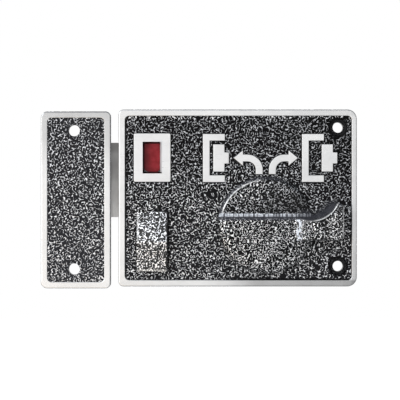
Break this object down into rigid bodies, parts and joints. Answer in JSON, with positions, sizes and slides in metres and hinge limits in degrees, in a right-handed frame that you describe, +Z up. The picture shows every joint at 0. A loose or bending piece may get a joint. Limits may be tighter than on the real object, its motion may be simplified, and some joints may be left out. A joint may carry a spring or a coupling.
{
  "type": "rim lock",
  "caption": "Surface-mounted rim lock with a turn knob, rack-driven bolt, red indicator window, slide button and a box keep.",
  "frame": {"origin": "centre of the case's back, on the door's surface", "axes": "+X to the right as seen from the front (away from the keep), +Z up, +Y into the door; the face looks towards -Y"},
  "size_m": [0.165, 0.0707, 0.0935],
  "materials": {
    "hammered_casting": "zinc casting with black and silver hammer-tone paint, raised edges polished bare",
    "zinc_plate": "zinc-plated pressed steel",
    "zinc_fasteners": "zinc-plated steel screws, pins and rivets",
    "spring_steel": "hardened and tempered spring steel",
    "brass_bush": "turned brass",
    "turned_steel": "turned and milled steel",
    "brass_gear": "machined brass",
    "satin_bolt": "satin-ground steel",
    "red_tile": "red moulded plastic"
  },
  "bodies": {
    "case": {"case_cover": "hammered_casting", "back_plate": "zinc_plate", "back_plate_screws": "zinc_fasteners", "bolt_guide_upper": "zinc_plate", "bolt_guide_lower": "zinc_plate", "guide_rivets": "zinc_fasteners", "bolt_tension_spring": "spring_steel", "travel_stop_pin": "zinc_fasteners", "spindle_bush_front": "brass_bush", "spindle_bush_rear": "brass_bush", "snib_spring": "spring_steel", "keep": "hammered_casting"},
    "knob": {"knob": "hammered_casting", "spindle": "turned_steel", "pinion": "brass_gear", "knob_pin": "spring_steel", "knob_circlip": "spring_steel", "knob_spring_washer": "spring_steel"},
    "bolt": {"bolt": "satin_bolt", "bolt_rack": "brass_gear", "rack_rivets": "zinc_fasteners", "indicator_flag": "red_tile", "indicator_rivets": "red_tile"},
    "snib": {"snib_button": "hammered_casting", "snib_plate": "zinc_plate", "snib_screws": "zinc_fasteners"}
  },
  "joints": [
    {"name": "knob_turn", "type": "hinge", "parent": "case", "child": "knob", "pos_m": [0.0147, 0, -0.0143], "axis": [0, 1, 0], "range_deg": [0, 90]},
    {"name": "bolt_throw", "type": "slide", "parent": "case", "child": "bolt", "axis": [1, 0, 0], "range_m": [0, 0.02003]},
    {"name": "snib_slide", "type": "slide", "parent": "case", "child": "snib", "axis": [0, 0, 1], "range_m": [0, 0.006]}
  ],
  "couplings": [
    {"joint": "bolt_throw", "follows": "knob_turn", "m_per_rad": 0.01275}
  ]
}
